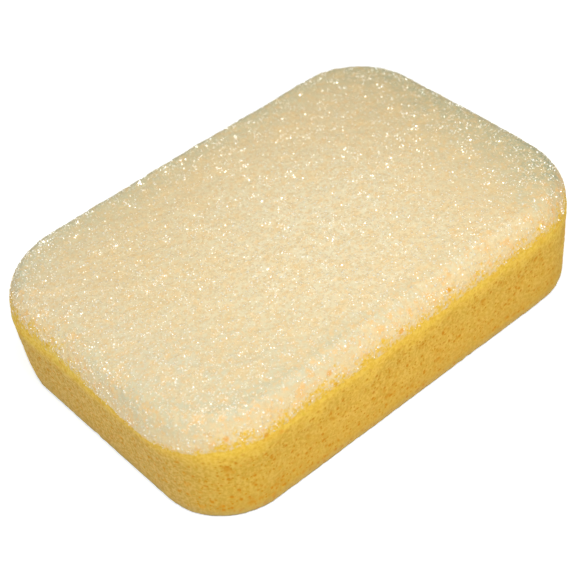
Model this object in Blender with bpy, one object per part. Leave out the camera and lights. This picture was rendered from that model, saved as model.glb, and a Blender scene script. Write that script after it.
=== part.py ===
"""Grout sponge: a rounded foam block with a thin scrub face bonded over its top and its rounded rim.

It is built in metres, +Z up, with the origin at the centre of the underside and the long side along X.
Its upper surfaces belong to one family of nested skins. Skin depth 0 is the outside of the sponge and a
greater depth lies that much further in, so the foam, the bond film and the scrub pad follow each other.
When the sponge is pressed flat, the face empty and the two pieces on it move down along Z.
"""

import math

import bmesh
import bpy

# Driving dimensions, in metres
LENGTH = 0.1905
WIDTH = 0.13335
HEIGHT = 0.04445
CORNER_RADIUS = 0.032
BASE_LENGTH = 0.1846  # the sides lean in a little towards the underside
BASE_WIDTH = 0.1282
BASE_CORNER_RADIUS = 0.0264
BASE_EDGE_ROUND = 0.0015
RIM_WIDTH = 0.0075  # the top edge is a quarter ellipse, this wide and RIM_DROP tall
RIM_DROP = 0.013

PAD_REACH = 0.0093  # how far the scrub pad comes down over the rim
PAD_THICKNESS = 0.0020
PAD_EDGE_THICKNESS = 0.0009
FILM_THICKNESS = 0.0003
GAP = 0.0003

# How finely the curves are divided
CORNER_STEPS = 11
RIM_STEPS = 9
LOWER_RIM_STEPS = 3
EDGE_STEPS = 3
SHARPEST_SMOOTH_ANGLE = math.radians(35)

RIM_FOOT = HEIGHT - RIM_DROP
PAD_EDGE_HEIGHT = HEIGHT - PAD_REACH

FOAM_YELLOW = (0.67, 0.41, 0.075)
FILM_CREAM = (0.80, 0.72, 0.50)
PAD_STRAW = (0.80, 0.67, 0.40)


def clear_scene():
    for item in list(bpy.data.objects):
        bpy.data.objects.remove(item)


def rounded_outline(length, width, radius, z):
    """Points round a rectangle with arcs at its corners, anticlockwise seen from above."""
    points = []
    for corner in range(4):
        side_x = 1 if corner in (0, 3) else -1
        side_y = 1 if corner in (0, 1) else -1
        for step in range(CORNER_STEPS + 1):
            angle = math.pi / 2 * (corner + step / CORNER_STEPS)
            x = side_x * (length / 2 - radius) + radius * math.cos(angle)
            y = side_y * (width / 2 - radius) + radius * math.sin(angle)
            points.append((x, y, z))
    return points


def wall_outline(z, inset=0.0):
    """The side wall at a height between the underside and the foot of the rim."""
    share = z / RIM_FOOT
    length = BASE_LENGTH + (LENGTH - BASE_LENGTH) * share
    width = BASE_WIDTH + (WIDTH - BASE_WIDTH) * share
    radius = BASE_CORNER_RADIUS + (CORNER_RADIUS - BASE_CORNER_RADIUS) * share
    return rounded_outline(length - 2 * inset, width - 2 * inset, radius - inset, z)


def base_edge_outlines():
    """The small round between the underside and the side wall."""
    outlines = []
    for step in range(EDGE_STEPS + 1):
        angle = math.pi / 2 * step / EDGE_STEPS
        z = BASE_EDGE_ROUND * (1 - math.cos(angle))
        inset = BASE_EDGE_ROUND * (1 - math.sin(angle))
        outlines.append(wall_outline(z, inset))
    return outlines


def rim_outline(angle, depth):
    """One outline of the rounded rim. The angle is 0 at the rim's foot and a right angle on top."""
    inset = RIM_WIDTH - (RIM_WIDTH - depth) * math.cos(angle)
    z = RIM_FOOT + (RIM_DROP - depth) * math.sin(angle)
    return rounded_outline(LENGTH - 2 * inset, WIDTH - 2 * inset, CORNER_RADIUS - inset, z)


def rim_angle(z, depth):
    """The angle at which the skin at this depth passes a height."""
    return math.asin((z - RIM_FOOT) / (RIM_DROP - depth))


def rim_outlines(z_low, depth_at):
    """The rim from a height up to the top. depth_at gives the skin depth at each share of the way."""
    start = rim_angle(z_low, depth_at(0.0))
    outlines = []
    for step in range(RIM_STEPS + 1):
        share = step / RIM_STEPS
        angle = start + (math.pi / 2 - start) * share
        outlines.append(rim_outline(angle, depth_at(share)))
    return outlines


def outside(share):
    return 0.0


def pad_inside(share):
    """The pad thins out towards its edge, so that it ends almost flush with the foam."""
    return PAD_EDGE_THICKNESS + (PAD_THICKNESS - PAD_EDGE_THICKNESS) * share


def film_outside(share):
    return pad_inside(share) + GAP


def film_inside(share):
    return film_outside(share) + FILM_THICKNESS


def foam_top(share):
    return film_inside(share) + GAP


def skin_between(shape, lower, upper):
    """A band of quads from one ring of corners to the next."""
    for a, b, c, d in zip(lower, lower[1:] + lower[:1], upper[1:] + upper[:1], upper):
        shape.faces.new((a, b, c, d))


def loft(name, outlines, origin_z=0.0):
    """A closed solid skinned through the outlines in turn, with flat ends."""
    mesh_data = bpy.data.meshes.new(name)
    shape = bmesh.new()
    rings = []
    for outline in outlines:
        rings.append([shape.verts.new((x, y, z - origin_z)) for x, y, z in outline])
    for lower, upper in zip(rings, rings[1:]):
        skin_between(shape, lower, upper)
    shape.faces.new(rings[0][::-1])
    shape.faces.new(rings[-1])
    bmesh.ops.recalc_face_normals(shape, faces=shape.faces)
    shape.to_mesh(mesh_data)
    shape.free()
    piece = bpy.data.objects.new(name, mesh_data)
    bpy.context.scene.collection.objects.link(piece)
    mesh_data.shade_smooth()
    mesh_data.set_sharp_from_angle(angle=SHARPEST_SMOOTH_ANGLE)
    return piece


def paint(piece, colour, roughness):
    finish = bpy.data.materials.new(piece.name)
    finish.use_nodes = True
    shader = finish.node_tree.nodes["Principled BSDF"]
    shader.inputs["Base Color"].default_value = (*colour, 1.0)
    shader.inputs["Roughness"].default_value = roughness
    shader.inputs["Metallic"].default_value = 0.0
    piece.data.materials.append(finish)


def foam_body():
    """The foam block, cut back under the pad so that the pad's outside continues the side wall."""
    shoulder = PAD_EDGE_HEIGHT - GAP
    shoulder_angle = rim_angle(shoulder, 0.0)
    outlines = base_edge_outlines()
    for step in range(LOWER_RIM_STEPS + 1):
        outlines.append(rim_outline(shoulder_angle * step / LOWER_RIM_STEPS, 0.0))
    outlines += rim_outlines(shoulder, foam_top)
    return loft("foam_body", outlines)


def cap(name, outer, inner, origin_z):
    """A thin cap over the top and the rim, like a shallow tray turned over."""
    under = rim_outlines(PAD_EDGE_HEIGHT, inner)
    over = rim_outlines(PAD_EDGE_HEIGHT, outer)
    return loft(name, under[::-1] + over, origin_z)


def face_empty():
    """Carries the pieces that go down when the sponge is pressed. It sits on the axis of that travel."""
    empty = bpy.data.objects.new("scrub_face", None)
    empty.location = (0.0, 0.0, HEIGHT)
    bpy.context.scene.collection.objects.link(empty)
    return empty


def build():
    clear_scene()
    paint(foam_body(), FOAM_YELLOW, roughness=0.85)
    film = cap("bond_film", film_outside, film_inside, origin_z=HEIGHT)
    paint(film, FILM_CREAM, roughness=0.5)
    pad = cap("scrub_pad", outside, pad_inside, origin_z=HEIGHT)
    paint(pad, PAD_STRAW, roughness=0.6)
    face = face_empty()
    film.parent = face
    pad.parent = face


build()
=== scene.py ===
import math

import bpy
import numpy as np
from mathutils import Matrix, Vector, kdtree


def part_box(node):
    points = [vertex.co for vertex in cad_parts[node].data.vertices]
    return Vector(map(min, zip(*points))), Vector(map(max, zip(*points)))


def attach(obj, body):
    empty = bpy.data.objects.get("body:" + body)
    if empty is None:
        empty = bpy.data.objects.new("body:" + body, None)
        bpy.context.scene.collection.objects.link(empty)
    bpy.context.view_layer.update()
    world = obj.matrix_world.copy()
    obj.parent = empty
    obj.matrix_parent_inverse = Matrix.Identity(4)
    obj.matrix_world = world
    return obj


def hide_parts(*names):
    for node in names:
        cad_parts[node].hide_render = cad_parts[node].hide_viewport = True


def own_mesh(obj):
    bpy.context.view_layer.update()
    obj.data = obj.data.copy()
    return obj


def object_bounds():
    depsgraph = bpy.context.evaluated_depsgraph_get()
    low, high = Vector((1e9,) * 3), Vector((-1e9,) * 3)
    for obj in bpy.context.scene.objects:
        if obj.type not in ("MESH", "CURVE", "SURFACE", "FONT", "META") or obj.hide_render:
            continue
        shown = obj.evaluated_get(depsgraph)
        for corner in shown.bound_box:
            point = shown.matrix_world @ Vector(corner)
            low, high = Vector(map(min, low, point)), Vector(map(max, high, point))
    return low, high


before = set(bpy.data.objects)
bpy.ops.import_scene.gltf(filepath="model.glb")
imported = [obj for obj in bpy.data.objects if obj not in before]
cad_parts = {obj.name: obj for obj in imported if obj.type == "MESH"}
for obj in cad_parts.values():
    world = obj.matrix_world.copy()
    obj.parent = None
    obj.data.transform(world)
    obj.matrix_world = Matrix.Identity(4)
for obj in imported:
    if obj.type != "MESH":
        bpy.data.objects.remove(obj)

CAD_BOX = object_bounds()
MM = 0.001

# The frame: sizes that every piece follows
HEIGHT = CAD_BOX[1].z
PAD_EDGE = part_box("scrub_pad")[0].z
FILM_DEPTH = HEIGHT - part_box("bond_film")[1].z
FOAM_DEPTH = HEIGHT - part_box("foam_body")[1].z
GAP = 0.3 * MM
PAD_DEPTH = FILM_DEPTH - GAP

# The rounded rim is a quarter ellipse, and the foot of it is the widest outline
RIM_WIDTH = 7.5 * MM
RIM_DROP = 13 * MM
RIM_FOOT = HEIGHT - RIM_DROP
BASE_ROUND = 1.5 * MM

# Where the pad meets the foam, as depths under the outer skin and as angles on the rim
FOAM_LIP = 0.19 * MM
PAD_LIP = 0.16 * MM
CUT_LOW, CUT_HIGH = math.radians(27), math.radians(44)
PAD_RUN = 13.5 * MM  # about how long the way is over the rim, from the pad's edge to the flat top

NEAR_SIDE = (-0.57, -0.82, 0.0)  # the level direction towards the camera

SHARPEST_SMOOTH_ANGLE = math.radians(75)

# How finely each skin is divided, along X and along Y
FOAM_CELLS = (300, 210)
PAD_CELLS = (280, 196)
FILM_CELLS = (60, 42)


def cad_outline(node, height):
    """Half length, half width and corner radius of a node's outline at the corners nearest a height."""
    points = np.array([v.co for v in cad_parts[node].data.vertices])
    level_z = points[np.abs(points[:, 2] - height).argmin(), 2]
    close = 0.02 * MM
    ring = points[np.abs(points[:, 2] - level_z) < close]
    half_x, half_y = ring[:, 0].max(), ring[:, 1].max()
    straight = ring[ring[:, 1] > half_y - close / 2][:, 0].max()
    return np.array([half_x, half_y, half_x - straight])


BASE_OUTLINE = cad_outline("foam_body", BASE_ROUND)
FULL_OUTLINE = cad_outline("foam_body", RIM_FOOT)


# ---------------------------------------------------------------- noise

def lattice_noise(points, size, seed):
    """Smooth random values from -1 to 1 that change over about this size."""
    cells = 64
    table = np.random.default_rng(seed).uniform(-1, 1, (cells, cells, cells))
    place = points / size
    low = np.floor(place).astype(int)
    part = place - low
    part = part * part * (3 - 2 * part)
    total = np.zeros(len(points))
    for corner in np.ndindex(2, 2, 2):
        index = (low + corner) % cells
        weight = np.prod(np.where(corner, part, 1 - part), axis=1)
        total += weight * table[index[:, 0], index[:, 1], index[:, 2]]
    return total


def smooth_step(low, high, value):
    share = np.clip((value - low) / (high - low), 0, 1)
    return share * share * (3 - 2 * share)


def sway(points):
    """Slow unevenness that the whole soft block shares, so that its skins stay together."""
    free = smooth_step(0, 12 * MM, points[:, 2])
    first_seed = 40
    moved = points.copy()
    for axis, amount in enumerate((0.55 * MM, 0.55 * MM, 0.35 * MM)):
        moved[:, axis] += free * amount * lattice_noise(points, 46 * MM, first_seed + axis)
    return moved


# ---------------------------------------------------------------- skins

def half_side(along, radius, out, steps):
    """One side of a rounded outline from corner middle to corner middle, evenly spaced: (along, out)."""
    arc = math.pi / 4 * radius
    straight = 2 * (along - radius)
    s = np.linspace(0, 2 * arc + straight, steps, endpoint=False)
    first = np.clip(math.pi / 4 - s / radius, 0, None)
    last = np.clip((s - arc - straight) / radius, 0, None)
    t = radius - along + np.clip(s - arc, 0, straight) + radius * (np.sin(last) - np.sin(first))
    o = out - radius + radius * (np.cos(first) + np.cos(last) - 1)
    return t, o


def outline(shape, cells):
    """Points round a rounded rectangle, anticlockwise from the middle of the (-X, -Y) corner."""
    half_x, half_y, radius = shape
    along_x, out_y = half_side(half_x, radius, half_y, cells[0])
    along_y, out_x = half_side(half_y, radius, half_x, cells[1])
    front, right = np.c_[along_x, -out_y], np.c_[out_x, along_y]
    return np.vstack([front, right, -front, -right])


def patch(shape, cells):
    """A grid of points that fills a rounded rectangle, as an array of (x steps, y steps, 2)."""
    nx, ny = cells
    ring = outline(shape, cells)
    ring = np.vstack([ring, ring[:1]])
    front, right = ring[: nx + 1], ring[nx : nx + ny + 1]
    back, left = ring[nx + ny : 2 * nx + ny + 1][::-1], ring[2 * nx + ny :][::-1]
    u = np.linspace(0, 1, nx + 1)[:, None, None]
    v = np.linspace(0, 1, ny + 1)[None, :, None]
    across = (1 - v) * front[:, None] + v * back[:, None]
    along = (1 - u) * left[None] + u * right[None]
    corners = (1 - v) * ((1 - u) * front[0] + u * front[-1]) + v * ((1 - u) * back[0] + u * back[-1])
    return across + along - corners


def level(shape, z, cells):
    flat = outline(shape, cells)
    return np.c_[flat, np.broadcast_to(z, len(flat))]


def rim_level(angle, depth, cells):
    """One ring of the rounded rim. Angle and skin depth may differ from point to point."""
    count = 2 * (cells[0] + cells[1])
    angle = np.broadcast_to(angle, count)
    depth = np.broadcast_to(depth, count)
    full = outline(FULL_OUTLINE, cells)
    inner = outline(FULL_OUTLINE - RIM_WIDTH, cells)
    inset = 1 - (1 - depth / RIM_WIDTH) * np.cos(angle)
    flat = full + (inner - full) * inset[:, None]
    return np.c_[flat, RIM_FOOT + (RIM_DROP - depth) * np.sin(angle)]


def wall_shape(z):
    return BASE_OUTLINE + (FULL_OUTLINE - BASE_OUTLINE) * z / RIM_FOOT


class Shell:
    """Collects the rings and grids of one closed skin."""

    def __init__(self):
        self.points = []
        self.quads = []
        self.lids = []
        self.count = 0

    def add(self, points):
        first = self.count
        self.points.append(points)
        self.count += len(points)
        return np.arange(first, self.count)

    def band(self, below, here):
        self.quads.append(np.c_[below, np.roll(below, -1), np.roll(here, -1), here])
        return here

    def ring(self, points, below):
        """Adds a ring and the band of faces that joins it to the ring below."""
        return self.band(below, self.add(points))

    def halve(self, coarse, fine):
        """Joins a ring to one that has twice as many points."""
        after = np.roll(fine, -2)[::2]
        self.lids += np.c_[coarse, np.roll(coarse, -1), after, fine[1::2], fine[::2]].tolist()
        return fine

    def grid(self, shape, z, cells, facing_up):
        """Fills a flat end with a grid and returns its border, in the order of a ring."""
        nx, ny = cells
        flat = patch(shape, cells).reshape(-1, 2)
        index = self.add(np.c_[flat, np.full(len(flat), z)]).reshape(nx + 1, ny + 1)
        quads = np.stack([index[:-1, :-1], index[1:, :-1], index[1:, 1:], index[:-1, 1:]], axis=-1)
        self.quads.append(quads.reshape(-1, 4)[:, :: 1 if facing_up else -1])
        return np.concatenate([index[:-1, 0], index[-1, :-1], index[:0:-1, -1], index[0, :0:-1]])

    def build(self, name):
        faces = np.vstack(self.quads).tolist() + self.lids
        piece = mesh_piece(name, np.vstack(self.points), faces)
        piece.data.set_sharp_from_angle(angle=SHARPEST_SMOOTH_ANGLE)
        return piece


def mesh_piece(name, points, faces):
    data = bpy.data.meshes.new(name)
    data.from_pydata(points.tolist(), [], faces)
    data.shade_smooth()
    piece = bpy.data.objects.new(name, data)
    bpy.context.scene.collection.objects.link(piece)
    return piece


def read_points(piece):
    found = np.empty(len(piece.data.vertices) * 3, np.float32)
    piece.data.vertices.foreach_get("co", found)
    return found.reshape(-1, 3).astype(float)


def read_normals(piece):
    found = np.empty(len(piece.data.vertices) * 3, np.float32)
    piece.data.vertex_normals.foreach_get("vector", found)
    return found.reshape(-1, 3).astype(float)


def write_points(piece, points):
    piece.data.vertices.foreach_set("co", points.astype(np.float32).ravel())
    piece.data.update()


def store(piece, name, values):
    """Keeps one number, or one vector, for each point, where the materials can read it."""
    kind = "FLOAT" if values.ndim == 1 else "FLOAT_VECTOR"
    attribute = piece.data.attributes.new(name, kind, "POINT")
    field = "value" if values.ndim == 1 else "vector"
    attribute.data.foreach_set(field, values.astype(np.float32).ravel())


# ---------------------------------------------------------------- foam block

PORES = 6000
PORE_RADIUS, PORE_SPREAD = 0.66, 0.42  # the middle radius in millimetres, and how much it varies
SMALLEST_PORE, LARGEST_PORE = 0.32, 1.9
PORE_DEPTH = 0.2  # as a share of its radius
FOOT_SPREAD = 0.75 * MM  # how far the foot of the near long side stands out


def foam_depth(angle):
    """How deep the foam lies under the outer skin: nearly flush below the pad, then cut back for it."""
    flush = FOAM_LIP * smooth_step(0, math.radians(3), angle)
    return flush + (FOAM_DEPTH - FOAM_LIP) * smooth_step(CUT_LOW, CUT_HIGH, angle)


def foam_skin():
    shell = Shell()
    edge_rows, wall_rows, rim_rows = 3, 48, 17
    half_cells = (FOAM_CELLS[0] // 2, FOAM_CELLS[1] // 2)
    flat = wall_shape(0) - BASE_ROUND
    coarse_flat = flat - 1.2 * MM
    border = shell.grid(coarse_flat, 0.0, half_cells, facing_up=False)
    ring = shell.halve(border, shell.add(level(flat, 0.0, FOAM_CELLS)))
    for step in range(1, edge_rows + 1):
        turn = math.pi / 2 * step / edge_rows
        z = BASE_ROUND * (1 - math.cos(turn))
        shape = wall_shape(z) - BASE_ROUND * (1 - math.sin(turn))
        ring = shell.ring(level(shape, z, FOAM_CELLS), ring)
    for step in range(1, wall_rows + 1):
        z = BASE_ROUND + (RIM_FOOT - BASE_ROUND) * step / wall_rows
        ring = shell.ring(level(wall_shape(z), z, FOAM_CELLS), ring)
    seen = np.radians(50) * np.arange(1, rim_rows + 1) / rim_rows
    hidden = np.radians((58, 68, 79, 90))  # under the pad, where a few rows are enough
    for angle in np.concatenate([seen, hidden]):
        ring = shell.ring(rim_level(angle, foam_depth(angle), FOAM_CELLS), ring)
    shell.lids.append(ring.tolist())
    return shell.build("foam_block")


def pore_depths(points):
    """Pits pressed in at random points: how deep each point lies in one, and how strongly painted shade
    darkens it there.
    """
    random = np.random.default_rng(11)
    tree = kdtree.KDTree(len(points))
    for index, point in enumerate(points):
        tree.insert(point, index)
    tree.balance()
    depth, shade_in_pit = np.zeros(len(points)), np.zeros(len(points))
    for index in random.choice(len(points), PORES, replace=False):
        size = random.lognormal(math.log(PORE_RADIUS), PORE_SPREAD)
        radius = MM * float(np.clip(size, SMALLEST_PORE, LARGEST_PORE))
        flat = random.uniform(0.55, 1.0)
        lean = Vector(random.normal(size=3)).normalized()
        strength = random.uniform(0.5, 1.0)
        centre = Vector(points[index])
        for place, near, _ in tree.find_range(centre, 2.0 * radius):
            offset = place - centre
            away = offset.length_squared - (1 - flat * flat) * offset.dot(lean) ** 2
            fall = strength * math.exp(-1.3 * max(away, 0) / radius**2)
            depth[near] = max(depth[near], PORE_DEPTH * radius * fall)
            shade_in_pit[near] = max(shade_in_pit[near], fall * min(1, radius / (0.7 * MM)))
    return depth, shade_in_pit


def foot_spread(points):
    """How far the wall of the near long side stands out at its foot, fading out near the right end."""
    spread = smooth_step(20 * MM, 50 * MM, -points[:, 1]) * (1 - smooth_step(0, RIM_FOOT, points[:, 2]))
    return FOOT_SPREAD * spread * (1 - smooth_step(55 * MM, 85 * MM, points[:, 0]))


def foam_block():
    piece = foam_skin()
    points, normals = read_points(piece), read_normals(piece)
    open_skin = 1 - smooth_step(PAD_EDGE - 8 * MM, PAD_EDGE - 3 * MM, points[:, 2])
    depth, shade_in_pit = pore_depths(points)
    write_points(piece, points - normals * (depth * open_skin)[:, None])
    rough = 0.05 * lattice_noise(points, 4 * MM, seed=21)
    rough += 0.06 * lattice_noise(points, 2.0 * MM, seed=22)
    rough += 0.06 * lattice_noise(points, 1.1 * MM, seed=23)
    rough *= MM * open_skin * smooth_step(0, 0.4 * MM, points[:, 2])
    moved = read_points(piece) + read_normals(piece) * rough[:, None]
    moved[:, 1] -= foot_spread(moved)
    moved[:, 2] = np.maximum(moved[:, 2], 0)
    write_points(piece, sway(moved))
    left_end = smooth_step(80 * MM, 92 * MM, -points[:, 0])
    # The stored pore value is painted shade: how much darker a point is drawn inside a pit.
    store(piece, "pore", shade_in_pit * open_skin * (1 - 0.3 * left_end))
    store(piece, "rest", points)
    return piece


# ---------------------------------------------------------------- scrub face

GRIT_CLUSTERS, FINE_CRUMBS = 1750, 7000
MOST_IN_CLUSTER = 5
CRUMB_RADIUS, CRUMB_SPREAD = 0.17, 0.3  # a fine crumb's middle radius in millimetres, and how it varies
LARGEST_CRUMB = 0.3
FIBRES = 3600
FIBRE_STEPS, FIBRE_SIDES = 5, 3


def pad_start(cells):
    """Where the scrub pad ends on the rim, as an angle for each point of a ring.

    Its ragged edge is worked out in millimetres up the rim from the CAD pad's edge."""
    ring = level(FULL_OUTLINE, PAD_EDGE, cells)
    ragged = 0.5 * lattice_noise(ring, 14 * MM, seed=5) + 0.4 * lattice_noise(ring, 4 * MM, seed=6)
    ragged += 0.35 * lattice_noise(ring, 1.5 * MM, seed=7) - 1.9
    ragged += 2.2 * left_back(ring) - 1.1 * left_front(ring)
    angle = math.asin((PAD_EDGE - RIM_FOOT) / RIM_DROP) + ragged * MM / RIM_DROP
    return np.maximum(angle, math.radians(1.5))


def left_back(points):
    """1 round the (-X, +Y) end, where the web stops higher up on the rim, and 0 away from it."""
    return smooth_step(55 * MM, 90 * MM, -points[:, 0]) * smooth_step(-60 * MM, 50 * MM, points[:, 1])


def left_front(points):
    """1 round the (-X, -Y) part of the left end, and 0 away from it."""
    return smooth_step(78 * MM, 90 * MM, -points[:, 0]) * smooth_step(-20 * MM, 25 * MM, -points[:, 1])


def foam_margin(points):
    """How much further in the foam shows through the web's edge.

    It is more at the back left, a little more along the front and the near corner, and less at the left."""
    front = smooth_step(-60 * MM, -20 * MM, points[:, 0]) * smooth_step(50 * MM, 62 * MM, -points[:, 1])
    corner = smooth_step(80 * MM, 100 * MM, points.dot(NEAR_SIDE))
    return MM * (2.2 * left_back(points) ** 2 + 0.4 * front + 0.8 * corner - 3.2 * left_front(points))


def pad_inside(angle):
    """The pad's underside: thin along its ragged edge and full thickness on top."""
    return PAD_LIP + (PAD_DEPTH - PAD_LIP) * smooth_step(CUT_LOW, CUT_HIGH, angle)


def inside_distance(points, shape):
    """How far points lie inside a rounded outline, and the level direction straight out from there."""
    half_x, half_y, radius = shape
    out = np.abs(points[:, :2]) - (half_x - radius, half_y - radius)
    corner = np.linalg.norm(np.maximum(out, 0), axis=1) + np.minimum(out.max(axis=1), 0)
    ahead = np.maximum(out - np.minimum(out.max(axis=1), 0)[:, None], 0) + 1e-6
    ahead = ahead / np.linalg.norm(ahead, axis=1)[:, None] * np.sign(points[:, :2])
    return radius - corner, ahead


def turned_away(points):
    """Painted shade: 1 on the top edge that faces away from the camera, fading out over the top and down the
    rim.
    """
    inside, ahead = inside_distance(points, FULL_OUTLINE)
    facing_away = -ahead.dot(NEAR_SIDE[:2])
    amount = smooth_step(-0.62, 0.05, facing_away) * smooth_step(-26 * MM, 3 * MM, -inside)
    return amount * smooth_step(HEIGHT - 4 * MM, HEIGHT - 1.2 * MM, points[:, 2])


def web_skin():
    """The pad as a closed shell, its first outer point's index, and how far points lie from its edge."""
    start, top = pad_start(PAD_CELLS), math.pi / 2
    shell = Shell()
    inner_rows, outer_rows = 12, 26
    inner_top = ring = shell.add(rim_level(top, pad_inside(top), PAD_CELLS))
    for step in range(inner_rows - 1, -1, -1):
        angle = start + (top - start) * step / inner_rows
        ring = shell.ring(rim_level(angle, pad_inside(angle), PAD_CELLS), ring)
    shell.lids.append(inner_top[::-1].tolist())
    first_outer = shell.count
    from_edge = [np.zeros(first_outer)]
    for step in range(outer_rows):
        share = step / outer_rows
        angle = start + (top - start) * share
        lip = 0.13 * MM * (1 - smooth_step(0, 0.16, share))
        ring = shell.ring(rim_level(angle, lip, PAD_CELLS), ring)
        from_edge.append(np.full(len(ring), PAD_RUN * share))
    first_flat = shell.count
    shell.band(ring, shell.grid(FULL_OUTLINE - RIM_WIDTH, HEIGHT, PAD_CELLS, facing_up=True))
    piece = shell.build("scrub_web")
    flat_points = read_points(piece)[first_flat:]
    from_edge.append(PAD_RUN + inside_distance(flat_points, FULL_OUTLINE - RIM_WIDTH)[0])
    return piece, first_outer, np.concatenate(from_edge)


def scrub_web():
    """The bonded scrub pad, with its outer points listed for the grit and the fibres."""
    piece, first_outer, from_edge = web_skin()
    points = read_points(piece)
    from_edge = from_edge - foam_margin(points)
    relief = 0.16 * lattice_noise(points, 7 * MM, seed=31)
    relief += 0.13 * lattice_noise(points, 2.0 * MM, seed=32)
    relief += 0.12 * lattice_noise(points, 0.9 * MM, seed=33)
    relief *= MM * smooth_step(0, 2.5 * MM, from_edge)
    relief[:first_outer] = 0
    write_points(piece, sway(points + read_normals(piece) * relief[:, None]))
    store(piece, "rest", points)
    store(piece, "from_edge", from_edge / MM)
    store(piece, "shade", turned_away(points))
    return piece, np.arange(first_outer, len(points)), from_edge


def bond_layer():
    """The adhesive film between the pad and the foam, from the rim's shoulder up."""
    shell = Shell()
    low, top = math.radians(46), math.pi / 2
    rows = 6
    inside, outside = FILM_DEPTH + GAP, FILM_DEPTH
    inner_top = ring = shell.add(rim_level(top, inside, FILM_CELLS))
    for step in range(rows - 1, -1, -1):
        ring = shell.ring(rim_level(low + (top - low) * step / rows, inside, FILM_CELLS), ring)
    shell.lids.append(inner_top[::-1].tolist())
    for step in range(rows):
        ring = shell.ring(rim_level(low + (top - low) * step / rows, outside, FILM_CELLS), ring)
    shell.band(ring, shell.grid(FULL_OUTLINE - RIM_WIDTH, HEIGHT - outside, FILM_CELLS, facing_up=True))
    piece = shell.build("bond_layer")
    points = read_points(piece)
    write_points(piece, sway(points))
    store(piece, "rest", points)
    return piece


def scatter_crumbs(random, points, from_edge):
    """Places crumbs as (point, offset, radius, brightness of the painted glint). Some lie in clusters, and
    most are fine.
    """
    clump = lattice_noise(points, 9 * MM, seed=52) + 0.8 * lattice_noise(points, 3 * MM, seed=53)
    chance = np.clip(0.8 + 0.45 * clump, 0.08, None) * smooth_step(-0.5 * MM, 1.0 * MM, from_edge)
    far = smooth_step(-45 * MM, 45 * MM, -points.dot(NEAR_SIDE))
    likely = chance * (0.7 + 0.6 * far)
    crumbs = []
    for index in random.choice(len(points), GRIT_CLUSTERS, replace=False, p=likely / likely.sum()):
        bright = random.uniform(0.3, 0.87) * (0.83 + 0.17 * far[index])
        large = 1.10 - 0.07 * far[index]
        for _ in range(min(MOST_IN_CLUSTER, random.geometric(0.74 - 0.18 * far[index]))):
            offset = random.normal(scale=0.85, size=3) * MM
            radius = MM * large * random.uniform(0.14, 0.33)
            crumbs.append((index, offset, radius, bright * random.uniform(0.5, 1.0)))
    likely = chance * (1 + 1.2 * smooth_step(20 * MM, 80 * MM, -points[:, 0]))
    for index in random.choice(len(points), FINE_CRUMBS, replace=False, p=likely / likely.sum()):
        offset = random.uniform(-0.3, 0.3, 3) * MM
        radius = MM * min(LARGEST_CRUMB, random.lognormal(math.log(CRUMB_RADIUS), CRUMB_SPREAD))
        crumbs.append((index, offset, radius, random.uniform(0.0, 0.51)))
    return crumbs


def clear_grit(web, outer, from_edge):
    """Small faceted crumbs of clear resin on the web, each with a glow value for its painted glint."""
    random = np.random.default_rng(51)
    points, normals = read_points(web)[outer], read_normals(web)[outer]
    crumbs = scatter_crumbs(random, points, from_edge[outer])
    crystal = np.array([(1, 0, 0), (0, 1, 0), (-1, 0, 0), (0, -1, 0), (0, 0, 1), (0, 0, -1)], float)
    sides = np.array([(0, 1, 4), (1, 2, 4), (2, 3, 4), (3, 0, 4), (1, 0, 5), (2, 1, 5), (3, 2, 5), (0, 3, 5)])
    all_points, all_faces, glow = [], [], []
    for number, (index, offset, radius, bright) in enumerate(crumbs):
        turn = np.linalg.qr(random.normal(size=(3, 3)))[0]
        stretch = random.uniform(0.7, 1.0, 3)
        offset = offset - normals[index] * offset.dot(normals[index])
        place = points[index] + offset + normals[index] * radius * 0.4
        all_points.append((crystal * stretch * radius) @ turn.T + place)
        outward = sides if np.linalg.det(turn) > 0 else sides[:, ::-1]
        all_faces.append(outward + len(crystal) * number)
        glow += [bright] * len(crystal)
    piece = mesh_piece("clear_grit", np.vstack(all_points), np.vstack(all_faces).tolist())
    piece.data.shade_flat()
    store(piece, "glow", np.array(glow))
    store(piece, "rest", np.vstack(all_points))
    return piece


def curled_fibre(random, root, out):
    """The points of one short fibre that lies along the web and curls, ring by ring."""
    ahead = np.cross(out, random.normal(size=3))
    ahead /= np.linalg.norm(ahead)
    across = np.cross(out, ahead)
    length = MM * random.uniform(0.7, 1.7)
    curl = random.normal(scale=0.8)
    lift = random.uniform(0.02, 0.12)
    radius = MM * random.uniform(0.035, 0.06)
    points = []
    for t in np.linspace(0, 1, FIBRE_STEPS):
        bend = curl * t
        spine = root + out * MM * (0.04 + lift * 4 * t * (1 - t))
        spine = spine + length * t * (ahead * math.cos(bend) + across * math.sin(bend))
        taper = radius * (0.55 + 0.45 * math.sin(math.pi * min(max(t, 0.12), 0.88)))
        for around in 2 * math.pi * np.arange(FIBRE_SIDES) / FIBRE_SIDES:
            points.append(spine + taper * (across * math.cos(around) + out * math.sin(around)))
    return points


def fibre_faces(base):
    """The faces of a fibre whose points start at this index, with both of its ends closed."""
    faces = []
    for step in range(FIBRE_STEPS - 1):
        for side in range(FIBRE_SIDES):
            a = base + step * FIBRE_SIDES + side
            b = base + step * FIBRE_SIDES + (side + 1) % FIBRE_SIDES
            faces.append([a, b, b + FIBRE_SIDES, a + FIBRE_SIDES])
    last = base + (FIBRE_STEPS - 1) * FIBRE_SIDES
    return faces + [[base + 2, base + 1, base], [last, last + 1, last + 2]]


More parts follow.
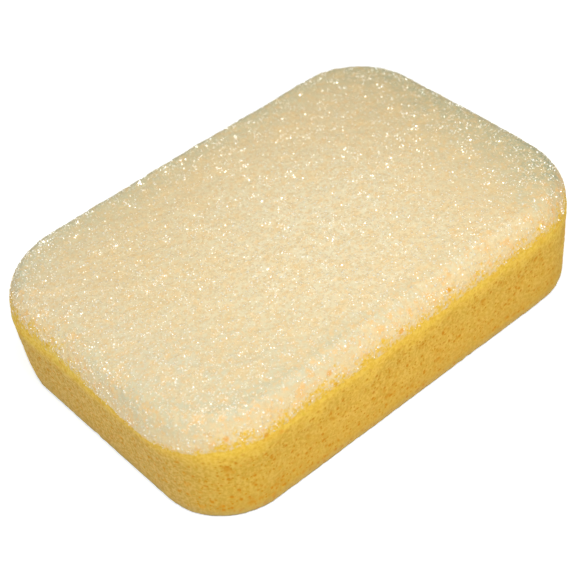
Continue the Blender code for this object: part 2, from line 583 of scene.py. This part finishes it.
def web_fibres(web, outer, from_edge):
    """Short curled fibres that stand out of the web, closest together along its ragged edge."""
    random = np.random.default_rng(61)
    points, normals = read_points(web)[outer], read_normals(web)[outer]
    near_edge = 1 - smooth_step(0, 6 * MM, from_edge[outer])
    chance = 0.35 + 0.5 * near_edge
    all_points, all_faces, tone = [], [], []
    for index in random.choice(len(points), FIBRES, replace=False, p=chance / chance.sum()):
        all_faces += fibre_faces(len(all_points))
        all_points += curled_fibre(random, points[index], normals[index])
        tone += [random.random()] * (FIBRE_STEPS * FIBRE_SIDES)
    piece = mesh_piece("web_fibres", np.array(all_points), all_faces)
    store(piece, "glow", np.array(tone))
    store(piece, "rest", np.array(all_points))
    return piece


# ---------------------------------------------------------------- shader nodes

def node(tree, kind, settings=None, **inputs):
    """A shader node. Its inputs are named in lower case with underscores, and take a value or a socket."""
    made = tree.nodes.new(kind)
    for name, value in (settings or {}).items():
        setattr(made, name, value)
    for name, value in inputs.items():
        socket = next(s for s in made.inputs if s.name.lower().replace(" ", "_") == name and s.enabled)
        feed(tree, socket, value)
    return made


def feed(tree, socket, value):
    """Links a socket to another one, or sets its value."""
    if isinstance(value, bpy.types.NodeSocket):
        tree.links.new(value, socket)
    else:
        socket.default_value = value


def result(made):
    return next(s for s in made.outputs if s.enabled)


def attribute(tree, name):
    """One number, and one vector, that the mesh keeps for each point."""
    made = node(tree, "ShaderNodeAttribute", {"attribute_name": name})
    return made.outputs["Fac"], made.outputs["Vector"]


def mix(tree, share, first, second, how="MIX"):
    """Goes from the first colour to the second as the share goes from 0 to 1."""
    made = node(tree, "ShaderNodeMix", {"data_type": "RGBA", "blend_type": how}, factor=share)
    colour_inputs = made.inputs[6], made.inputs[7]
    for socket, value in zip(colour_inputs, (first, second)):
        feed(tree, socket, (*value, 1.0) if isinstance(value, tuple) else value)
    return made.outputs[2]


def tint(tree, share, colour, by):
    """Multiplies a colour by another where the share is 1, and leaves it where the share is 0."""
    return mix(tree, share, colour, by, "MULTIPLY")


def remap(tree, value, low, high, to_low=0.0, to_high=1.0):
    """A smooth ramp that turns low into to_low and high into to_high, and stays level beyond them."""
    made = node(tree, "ShaderNodeMapRange", {"interpolation_type": "SMOOTHSTEP"}, value=value,
                from_min=low, from_max=high, to_min=to_low, to_max=to_high)
    return result(made)


def calc(tree, how, first, second):
    made = tree.nodes.new("ShaderNodeMath")
    made.operation = how
    feed(tree, made.inputs[0], first)
    feed(tree, made.inputs[1], second)
    return made.outputs[0]


def times(tree, *values):
    total = values[0]
    for value in values[1:]:
        total = calc(tree, "MULTIPLY", total, value)
    return total


def plus(tree, *values):
    total = values[0]
    for value in values[1:]:
        total = calc(tree, "ADD", total, value)
    return total


def less(tree, first, second):
    return calc(tree, "SUBTRACT", first, second)


def centred(tree, value, width):
    """A value from 0 to 1, moved and stretched to this width around 0."""
    return times(tree, less(tree, value, 0.5), width)


def noise(tree, place, size, detail=2.0, rough=0.5):
    made = node(tree, "ShaderNodeTexNoise", vector=place, scale=1 / size, detail=detail, roughness=rough)
    return made.outputs["Fac"]


def cell_pattern(tree, place, size):
    """Space divided into cells of about this size."""
    return node(tree, "ShaderNodeTexVoronoi", vector=place, scale=1 / size)


def cell_random(tree, found):
    """Three random numbers for each cell."""
    return node(tree, "ShaderNodeSeparateColor", color=found.outputs["Color"]).outputs


def cell_dots(tree, found, radii, odds, most=1.0):
    """Soft round dots, in the cells whose random number is high enough."""
    dot = remap(tree, found.outputs["Distance"], *radii, 1.0, 0.0)
    return times(tree, dot, remap(tree, cell_random(tree, found)[0], *odds, 0.0, most))


def coordinates(tree, place):
    return node(tree, "ShaderNodeSeparateXYZ", vector=place).outputs


def towards_camera(tree, place):
    """How far a place lies from the block's middle, along the level towards the camera."""
    made = node(tree, "ShaderNodeVectorMath", {"operation": "DOT_PRODUCT"}, vector=place)
    made.inputs[1].default_value = NEAR_SIDE
    return made.outputs["Value"]


def distance_from(tree, place, x, y):
    """How far a place lies from a point on the top."""
    made = node(tree, "ShaderNodeVectorMath", {"operation": "DISTANCE"}, vector=place)
    made.inputs[1].default_value = (x, y, HEIGHT)
    return made.outputs["Value"]


def new_material(name):
    made = bpy.data.materials.new(name)
    made.use_nodes = True
    tree = made.node_tree
    return made, tree, tree.nodes["Principled BSDF"]


def connect(tree, shader, name, value):
    feed(tree, shader.inputs[name], value)


def bump(tree, height, distance):
    return node(tree, "ShaderNodeBump", height=height, distance=distance, strength=1.0).outputs["Normal"]


# ---------------------------------------------------------------- materials

# Colours in linear RGB. A tint multiplies the colour under it, so it may go past 1.
FOAM_DEEP, FOAM_YELLOW = (0.73, 0.430, 0.051), (0.77, 0.460, 0.059)
FOAM_GRAIN = (0.86, 0.565, 0.102)
FOAM_LOW_SHADE = (0.645, 0.395, 0.060)
LIT_BAND_DEEP, LIT_BAND_BRIGHT = (0.90, 0.565, 0.060), (1.0, 0.675, 0.110)
LEFT_SHADE_DEEP, LEFT_SHADE_BRIGHT = (0.56, 0.325, 0.070), (0.76, 0.520, 0.175)
LEFT_BAND_SHEEN = (1.03, 1.10, 1.40)
FOAM_CORNER_SHADE = (0.94, 0.95, 0.94)
SMALL_PORE_SHADE, BIG_PORE_SHADE, BLOT = (0.66, 0.290, 0.005), (0.66, 0.260, 0.003), (0.74, 0.31, 0.006)
PRESSED_PORE_SHADE = (0.68, 0.28, 0.005)
FOAM_SPOT = (0.84, 0.39, 0.03)
FOOT_SHADE_COLOUR, FOOT_CONTACT_SHADOW = (0.53, 0.43, 0.18), (0.24, 0.19, 0.09)

WEB_STRAW, WEB_CREAM = (0.86, 0.745, 0.470), (0.885, 0.735, 0.445)
WEB_FAR_SHADE, WEB_NEAR_SHADE, WEB_LIT_MIDDLE = (0.84, 0.69, 0.41), (0.73, 0.68, 0.47), (0.94, 0.84, 0.58)
SHADE_TINT = (0.68, 0.82, 0.89)
RIGHT_END_SHADE, LEFT_END_COOL_LIGHT = (0.79, 0.82, 0.80), (0.98, 1.0, 1.07)
LEFT_RIM_LIGHT = (1.07, 1.03, 0.93)
RIGHT_CORNER_SHADE, NEAR_CORNER_SHADE = (0.83, 0.89, 0.92), (0.965, 0.94, 0.905)
CREST_SHADE = (0.905, 0.93, 0.94)
WEB_THIN_AND_LIT, WEB_WARM, WEB_COOL = (0.98, 0.73, 0.34), (0.93, 0.71, 0.37), (0.85, 0.76, 0.49)
WEB_HOLLOW_SHADE, WEB_PEACH = (0.76, 0.60, 0.33), (0.85, 0.61, 0.29)
FOAM_THROUGH, WEB_SPOT = (0.95, 0.57, 0.19), (0.93, 0.45, 0.07)
WEB_SPECK, WEB_CRUMB = (1.0, 0.97, 0.84), (0.99, 0.94, 0.78)

GRIT_DULL, GRIT_GLINT_WHITE, GRIT_CLOUD = (0.93, 0.82, 0.56), (1.0, 1.0, 1.0), (0.95, 0.90, 0.76)
WARM_SHINE, COOL_SHINE = (1.0, 0.94, 0.80), (0.88, 0.97, 1.0)
FIBRE_STRAW, FIBRE_PALE, FIBRE_CREAM = (0.90, 0.77, 0.48), (0.98, 0.93, 0.76), (0.92, 0.82, 0.55)
FIBRE_SHINE = (1.0, 0.95, 0.82, 1.0)
FILM_DEEP, FILM_PALE = (0.76, 0.66, 0.42), (0.86, 0.80, 0.62)


def orange_spots(tree, place, share):
    """A few soft round spots where the foam's own colour comes through strongly."""
    return times(tree, cell_dots(tree, cell_pattern(tree, place, 6 * MM), (0.10, 0.24), (0.55, 0.75)), share)


def left_middle(tree, place):
    """1 along the middle of the left end, and 0 away from it."""
    split = coordinates(tree, place)
    outer = remap(tree, split["X"], -94 * MM, -80 * MM, 1.0, 0.0)
    behind_corner = remap(tree, split["Y"], -60 * MM, -40 * MM)
    before_back = remap(tree, split["Y"], 12 * MM, 40 * MM, 1.0, 0.0)
    return times(tree, outer, behind_corner, before_back)


def below_pad(tree, height_above, low, high, left):
    """1 well below the pad's edge, and what is left of it close under the edge."""
    return remap(tree, height_above, PAD_EDGE - low, PAD_EDGE - high, 1.0, left)


def foam_ground(tree, place, grain):
    """The foam's broad colours: painted light in a bright band under the pad, painted shade near the floor,
    on the left end and on the near corner, and a painted sheen along the left end.
    """
    split = coordinates(tree, place)
    height_above = split["Z"]
    mottle = noise(tree, place, 9 * MM, 3.0)
    colour = mix(tree, remap(tree, mottle, 0.35, 0.65), FOAM_DEEP, FOAM_YELLOW)
    colour = mix(tree, remap(tree, grain, 0.40, 0.62), colour, FOAM_GRAIN)
    # Painted shade: the foam darker towards the floor.
    colour = mix(tree, remap(tree, height_above, 0.0, 17 * MM, 0.55, 0.0), colour, FOAM_LOW_SHADE)
    # Painted light: a brighter yellow band on the shoulder just under the pad, where the light falls on it.
    wavy = plus(tree, height_above, centred(tree, mottle, 12 * MM))
    band = remap(tree, wavy, PAD_EDGE - 12 * MM, PAD_EDGE - 1 * MM, 0.0, 0.95)
    lit_band_colour = mix(tree, remap(tree, grain, 0.36, 0.62), LIT_BAND_DEEP, LIT_BAND_BRIGHT)
    colour = mix(tree, band, colour, lit_band_colour)
    # Painted shade: the left end darker and duller, as it faces away from the light.
    left_end_shade = remap(tree, split["X"], -92 * MM, -74 * MM, 0.65, 0.0)
    left_end_shade = times(tree, left_end_shade, remap(tree, split["Y"], -64 * MM, -38 * MM),
                  below_pad(tree, height_above, 9 * MM, 1 * MM, 0.15))
    left_end_shade_colour = mix(tree, remap(tree, grain, 0.38, 0.60), LEFT_SHADE_DEEP, LEFT_SHADE_BRIGHT)
    colour = mix(tree, left_end_shade, colour, left_end_shade_colour)
    # Painted sheen: a paler, bluer band along the middle of the left end, close under the pad.
    pale = remap(tree, height_above, PAD_EDGE - 3 * MM, PAD_EDGE)
    colour = tint(tree, times(tree, left_middle(tree, place), pale), colour, LEFT_BAND_SHEEN)
    # Painted shade: the corner nearest the camera a little darker well below the pad.
    corner = remap(tree, towards_camera(tree, place), 72 * MM, 98 * MM)
    corner = times(tree, corner, below_pad(tree, height_above, 14 * MM, 3 * MM, 0.0))
    return tint(tree, corner, colour, FOAM_CORNER_SHADE), height_above


def foam_look(tree, place):
    """The foam's colour and fine relief. The web has them too, where foam shows past its ragged edge."""
    grain = noise(tree, place, 1.1 * MM, 2.0, 0.6)
    colour, height_above = foam_ground(tree, place, grain)
    left_wall = remap(tree, coordinates(tree, place)["X"], -94 * MM, -84 * MM, 0.9, 1.0)
    sparse = times(tree, below_pad(tree, height_above, 10 * MM, 2 * MM, 0.2), left_wall)
    big = cell_dots(tree, cell_pattern(tree, place, 2.6 * MM), (0.13, 0.36), (0.25, 0.65))
    small = cell_dots(tree, cell_pattern(tree, place, 1.35 * MM), (0.16, 0.43), (0.40, 0.75))
    big, small = times(tree, big, sparse), times(tree, small, sparse)
    # Painted shade: the pores' hollows are coloured darker orange, where shade falls in them.
    colour = mix(tree, times(tree, small, 0.95), colour, SMALL_PORE_SHADE)
    colour = mix(tree, times(tree, big, 0.9), colour, BIG_PORE_SHADE)
    blot = cell_dots(tree, cell_pattern(tree, place, 5.2 * MM), (0.08, 0.26), (0.35, 0.7), 0.45)
    colour = mix(tree, blot, colour, BLOT)
    near_pad = remap(tree, height_above, PAD_EDGE - 7 * MM, PAD_EDGE - 3 * MM, 0.0, 0.8)
    colour = mix(tree, orange_spots(tree, place, near_pad), colour, FOAM_SPOT)
    pits = times(tree, plus(tree, big, small), 0.45)
    return colour, less(tree, times(tree, grain, 1.2), pits), height_above


def foam_material():
    made, tree, shader = new_material("yellow_foam")
    place = attribute(tree, "rest")[1]
    pore_shade = attribute(tree, "pore")[0]
    colour, relief, height_above = foam_look(tree, place)
    # Painted shade: the pressed pits are coloured darker orange, where shade falls in them.
    colour = mix(tree, remap(tree, pore_shade, 0.25, 1.0, 0.0, 0.75), colour, PRESSED_PORE_SHADE)
    # Painted shade: the foot greyer and darker close to the floor.
    foot_shade = remap(tree, height_above, 0.5 * MM, 5.0 * MM, 0.5, 0.0)
    colour = mix(tree, foot_shade, colour, FOOT_SHADE_COLOUR)
    # Painted shadow: a thin dark line along the foot, where it meets the floor.
    contact_shadow = remap(tree, height_above, 0.4 * MM, 1.9 * MM, 0.9, 0.0)
    colour = mix(tree, contact_shadow, colour, FOOT_CONTACT_SHADOW)
    connect(tree, shader, "Base Color", colour)
    connect(tree, shader, "Roughness", 0.95)
    connect(tree, shader, "Specular IOR Level", 0.1)
    connect(tree, shader, "Subsurface Weight", 0.3)
    connect(tree, shader, "Subsurface Radius", (1.0, 0.5, 0.15))
    connect(tree, shader, "Subsurface Scale", 0.7 * MM)
    connect(tree, shader, "Sheen Weight", 0.03)
    connect(tree, shader, "Sheen Roughness", 0.5)
    connect(tree, shader, "Normal", bump(tree, relief, 0.10 * MM))
    return made


def web_ground(tree, place, edge, shade):
    """The web's broad colours: a painted pool of light in the middle, painted cool light and painted light on
    the left end, and painted shade towards the far and near sides, the right end, the corners, the crest and
    the edge turned away from the camera.
    """
    split = coordinates(tree, place)
    across = towards_camera(tree, place)
    wide = noise(tree, place, 30 * MM, 2.0)
    colour = mix(tree, remap(tree, wide, 0.35, 0.65), WEB_STRAW, WEB_CREAM)
    # Painted shade: the top darker and warmer towards the far side, as the light falls off.
    colour = mix(tree, remap(tree, across, -60 * MM, 50 * MM), WEB_FAR_SHADE, colour)
    # Painted shade: the top greyer and darker towards the near side.
    colour = mix(tree, remap(tree, across, 30 * MM, 85 * MM, 0.0, 0.85), colour, WEB_NEAR_SHADE)
    # Painted light: a brighter pool in the middle of the top, where the light falls strongest.
    lit_middle = remap(tree, distance_from(tree, place, 5 * MM, -10 * MM), 15 * MM, 70 * MM, 0.8, 0.0)
    colour = mix(tree, lit_middle, colour, WEB_LIT_MIDDLE)
    colour = tint(tree, shade, colour, SHADE_TINT)
    # Painted shade: the right end darker, as the light falls off towards it.
    colour = tint(tree, remap(tree, split["X"], 48 * MM, 95 * MM), colour, RIGHT_END_SHADE)
    # Painted cool light: the left part of the top, away from its front, a little bluer.
    left_end = remap(tree, split["X"], -88 * MM, -35 * MM, 1.0, 0.0)
    left_end = times(tree, left_end, remap(tree, split["Y"], -58 * MM, -22 * MM))
    colour = tint(tree, left_end, colour, LEFT_END_COOL_LIGHT)
    # Painted light: the middle of the left rim brighter and warmer.
    colour = tint(tree, left_middle(tree, place), colour, LEFT_RIM_LIGHT)
    # Painted shade: the right front corner of the top darker.
    right_corner_shade = remap(tree, distance_from(tree, place, 92 * MM, -60 * MM), 10 * MM, 42 * MM, 1.0, 0.0)
    colour = tint(tree, right_corner_shade, colour, RIGHT_CORNER_SHADE)
    # Painted shade: the crest of the rim on the camera's side darker, so that it does not stand out lit
    # against the top.
    crest_shade = times(tree, remap(tree, edge, 5.0, 9.0), remap(tree, edge, 13.0, 20.0, 1.0, 0.0),
                  remap(tree, across, 20 * MM, 50 * MM))
    colour = tint(tree, crest_shade, colour, CREST_SHADE)
    # Painted shade: the corner nearest the camera a little darker.
    return tint(tree, remap(tree, across, 78 * MM, 98 * MM), colour, NEAR_CORNER_SHADE)


def web_patches(tree, place, edge, shade, colour, pick):
    """Adds the web's small unevenness: warm, cool and peach patches, painted shade in small hollows, a thin
    edge yellowed by the foam and brightened as painted light, and foam glowing through by the rim.
    """
    medium = noise(tree, place, 6 * MM, 3.0, 0.6)
    blotch = noise(tree, place, 3.0 * MM, 3.0, 0.6)
    grain = noise(tree, place, 1.0 * MM, 2.0, 0.6)
    # The thin edge shows the foam's yellow through it, brightened further as painted light on the rim.
    thin = times(tree, remap(tree, edge, 1.0, 11.0, 0.82, 0.0), less(tree, 1.0, shade))
    colour = mix(tree, thin, colour, WEB_THIN_AND_LIT)
    # The warm, peach and foam-through patches are calmed where the painted shade lies.
    calm = less(tree, 1.0, times(tree, shade, 0.65))
    warm = times(tree, calm, remap(tree, medium, 0.42, 0.66, 0.0, 0.5))
    colour = mix(tree, warm, colour, WEB_WARM)
    colour = mix(tree, remap(tree, medium, 0.30, 0.45, 0.2, 0.0), colour, WEB_COOL)
    # Painted shade: darker colour in the hollows of the fine grain.
    colour = mix(tree, remap(tree, grain, 0.32, 0.54, 0.75, 0.0), colour, WEB_HOLLOW_SHADE)
    peach = times(tree, calm, remap(tree, pick, 0.5, 0.9, 0.0, 0.5))
    colour = mix(tree, peach, colour, WEB_PEACH)
    near_rim = times(tree, calm, remap(tree, edge, 2.0, 22.0, 1.0, 0.25))
    through = times(tree, near_rim, remap(tree, blotch, 0.48, 0.70, 0.0, 0.8))
    return mix(tree, through, colour, FOAM_THROUGH)


def worn_away(tree, place, edge, pick):
    """1 past the web's ragged edge, where the foam is bare, and 0 on the web."""
    ragged = centred(tree, noise(tree, place, 1.1 * MM, 2.0, 0.6), 12.0)
    ragged_wide = centred(tree, noise(tree, place, 4.5 * MM, 2.0, 0.6), 12.0)
    crumbled = centred(tree, pick, 3.0)
    shifted = plus(tree, edge, crumbled, ragged, ragged_wide)
    return remap(tree, shifted, -1.0, 4.0, 1.0, 0.0)


def web_material():
    made, tree, shader = new_material("scrub_web")
    place = attribute(tree, "rest")[1]
    edge = attribute(tree, "from_edge")[0]
    shade = attribute(tree, "shade")[0]
    flecks = cell_pattern(tree, place, 0.95 * MM)
    _, worn_pick, peach_pick = cell_random(tree, flecks)
    colour = web_ground(tree, place, edge, shade)
    colour = web_patches(tree, place, edge, shade, colour, peach_pick)
    speck = cell_dots(tree, flecks, (0.16, 0.42), (0.55, 0.80))
    colour = mix(tree, times(tree, speck, 0.6), colour, WEB_SPECK)
    spots = orange_spots(tree, place, remap(tree, edge, 4.0, 9.0, 0.8, 0.0))
    colour = mix(tree, spots, colour, WEB_SPOT)
    foam, foam_relief, _ = foam_look(tree, place)
    bare = worn_away(tree, place, edge, worn_pick)
    colour = mix(tree, bare, colour, foam)
    crumb = cell_dots(tree, cell_pattern(tree, place, 1.5 * MM), (0.14, 0.34), (0.60, 0.82))
    crumb_left = times(tree, crumb, remap(tree, edge, 0.0, 2.0, 0.3, 0.9))
    colour = mix(tree, crumb_left, colour, WEB_CRUMB)
    connect(tree, shader, "Base Color", colour)
    gloss = less(tree, 1.0, bare)
    smoother = times(tree, gloss, remap(tree, worn_pick, 0.0, 1.0, -0.65, -0.3))
    connect(tree, shader, "Roughness", plus(tree, 0.95, smoother))
    connect(tree, shader, "Specular IOR Level", remap(tree, gloss, 0.0, 1.0, 0.1, 0.35))
    web_relief = plus(tree, noise(tree, place, 1.0 * MM, 3.0, 0.6), speck, crumb)
    height = plus(tree, web_relief, times(tree, foam_relief, bare))
    connect(tree, shader, "Normal", bump(tree, height, 0.14 * MM))
    return made


def grit_material():
    made, tree, shader = new_material("clear_grit")
    glow = attribute(tree, "glow")[0]
    place = attribute(tree, "rest")[1]
    cloudy = noise(tree, place, 0.4 * MM)
    # Painted highlight: crumbs that glint more are drawn whiter.
    colour = mix(tree, remap(tree, glow, 0.0, 0.45), GRIT_DULL, GRIT_GLINT_WHITE)
    colour = mix(tree, remap(tree, cloudy, 0.4, 0.7, 0.0, 0.25), colour, GRIT_CLOUD)
    connect(tree, shader, "Base Color", colour)
    connect(tree, shader, "Roughness", 0.15)
    connect(tree, shader, "Specular IOR Level", 0.9)
    # Painted glints: the crumbs glow by emission though they are no lamp, the faint ones warm and the strong
    # ones cool white.
    shine_colour = mix(tree, remap(tree, glow, 0.15, 0.5), WARM_SHINE, COOL_SHINE)
    connect(tree, shader, "Emission Color", shine_colour)
    glint, flash = remap(tree, glow, 0.0, 0.5, 0.08, 0.35), remap(tree, glow, 0.42, 1.0, 0.0, 3.4)
    connect(tree, shader, "Emission Strength", plus(tree, glint, flash))
    return made


def fibre_material():
    made, tree, shader = new_material("web_fibres")
    glow = attribute(tree, "glow")[0]
    place = attribute(tree, "rest")[1]
    along = noise(tree, place, 1.5 * MM)
    colour = mix(tree, glow, FIBRE_STRAW, FIBRE_PALE)
    colour = mix(tree, remap(tree, along, 0.4, 0.7, 0.0, 0.3), colour, FIBRE_CREAM)
    connect(tree, shader, "Base Color", colour)
    connect(tree, shader, "Roughness", 0.3)
    # Painted light: the fibres glow faintly by emission, though they are no lamp.
    connect(tree, shader, "Emission Color", FIBRE_SHINE)
    connect(tree, shader, "Emission Strength", remap(tree, glow, 0.2, 1.0, 0.02, 0.16))
    return made


def film_material():
    made, tree, shader = new_material("bond_layer")
    place = attribute(tree, "rest")[1]
    dried = noise(tree, place, 5 * MM, 4.0)
    connect(tree, shader, "Base Color", mix(tree, dried, FILM_DEEP, FILM_PALE))
    connect(tree, shader, "Roughness", remap(tree, dried, 0.3, 0.7, 0.25, 0.5))
    connect(tree, shader, "Normal", bump(tree, dried, 0.2 * MM))
    return made


# ---------------------------------------------------------------- stage

FLOOR_REACH = 4.0
FLOOR_WHITE, FLOOR_LIGHT = (0.94, 0.94, 0.94, 1.0), (0.92, 0.97, 1.0, 1.0)
SKY_BEHIND, SKY_AHEAD, SKY_SEEN = (0.31, 0.315, 0.305), (0.56, 0.55, 0.53), (0.93, 0.93, 0.93)
LIT_POINT = Vector((0, 0, 0.02))


def look_from(azimuth, elevation, distance, roll, shift):
    """A camera matrix that looks at the block's middle from a direction, in degrees and metres."""
    a, e, turn = map(math.radians, (azimuth, elevation, roll))
    back = Vector((math.sin(a) * math.cos(e), -math.cos(a) * math.cos(e), math.sin(e)))
    right = (-back).cross(Vector((0, 0, 1))).normalized()
    up = back.cross(right)
    right, up = right * math.cos(turn) + up * math.sin(turn), up * math.cos(turn) - right * math.sin(turn)
    place = back * distance + Vector((0, 0, HEIGHT / 2)) + right * shift[0] + up * shift[1]
    return Matrix((right, up, back)).transposed().to_4x4(), place


def add_camera():
    """The camera at the photo's angle, which was found by fitting the block's outline to the photo."""
    data = bpy.data.cameras.new("camera")
    data.lens = 94.84
    data.sensor_width = 36
    camera = bpy.data.objects.new("camera", data)
    bpy.context.scene.collection.objects.link(camera)
    turn, place = look_from(azimuth=-34.79, elevation=42.24, distance=0.5675, roll=-8.96,
                            shift=(-1.16 * MM, -8.87 * MM))
    camera.matrix_world = Matrix.Translation(place) @ turn
    focus = bpy.data.objects.new("focus", None)
    focus.location = (-0.01, -0.03, HEIGHT)
    bpy.context.scene.collection.objects.link(focus)
    data.dof.use_dof = True
    data.dof.focus_object = focus
    data.dof.aperture_fstop = 16
    bpy.context.scene.camera = camera


def add_light(name, place, size, power, colour):
    data = bpy.data.lights.new(name, "AREA")
    data.shape = "DISK"
    data.size = size
    data.energy = power
    data.color = colour
    light = bpy.data.objects.new(name, data)
    light.location = place
    light.rotation_euler = (Vector(place) - LIT_POINT).to_track_quat("Z", "Y").to_euler()
    bpy.context.scene.collection.objects.link(light)


def seen_by_camera(tree):
    return node(tree, "ShaderNodeLightPath").outputs["Is Camera Ray"]


def add_floor():
    """A pale floor that looks white to the camera and lights the block like a matt one."""
    corners = np.array([(-1, -1, 0), (1, -1, 0), (1, 1, 0), (-1, 1, 0)]) * FLOOR_REACH
    floor = mesh_piece("floor", corners, [[0, 1, 2, 3]])
    made, tree, shader = new_material("floor")
    connect(tree, shader, "Base Color", FLOOR_WHITE)
    connect(tree, shader, "Roughness", 0.9)
    connect(tree, shader, "Specular IOR Level", 0.1)
    connect(tree, shader, "Emission Color", FLOOR_LIGHT)
    connect(tree, shader, "Emission Strength", times(tree, seen_by_camera(tree), 0.62))
    floor.data.materials.append(made)


def add_sky():
    """Soft grey light from all round, brighter from the camera's side. The camera sees it as white."""
    world = bpy.data.worlds.new("studio")
    world.use_nodes = True
    tree = world.node_tree
    direction = node(tree, "ShaderNodeTexCoord").outputs["Generated"]
    share = remap(tree, towards_camera(tree, direction), -1.0, 1.0)
    tone = mix(tree, share, SKY_BEHIND, SKY_AHEAD)
    tone = mix(tree, seen_by_camera(tree), tone, SKY_SEEN)
    tree.links.new(tone, tree.nodes["Background"].inputs["Color"])
    bpy.context.scene.world = world


def add_stage():
    add_floor()
    add_sky()
    add_light("key", (-0.04, -0.19, 0.42), size=0.26, power=1.08, colour=(1.0, 0.98, 0.95))
    add_light("fill", (-0.52, -0.12, 0.27), size=0.40, power=0.40, colour=(0.80, 0.93, 1.10))
    bpy.context.scene.view_settings.view_transform = "Standard"


# ---------------------------------------------------------------- the sponge

def place_piece(piece, body, slot, finish, anchor_z, *nodes):
    """Gives a piece its material and its body, and hides the CAD parts that it stands in for."""
    piece.data.materials.append(finish)
    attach(piece, body)
    if nodes:
        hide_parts(*nodes)
    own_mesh(piece)


def main():
    place_piece(foam_block(), "foam", "foam", foam_material(), 0, "foam_body")
    web, outer, from_edge = scrub_web()
    grit = clear_grit(web, outer, from_edge)
    fibres = web_fibres(web, outer, from_edge)
    place_piece(web, "face", "scrub_web", web_material(), HEIGHT, "scrub_pad")
    place_piece(grit, "face", "scrub_web", grit_material(), HEIGHT)
    place_piece(fibres, "face", "scrub_web", fibre_material(), HEIGHT)
    place_piece(bond_layer(), "face", "adhesive", film_material(), HEIGHT, "bond_film")
    add_stage()
    add_camera()


main()
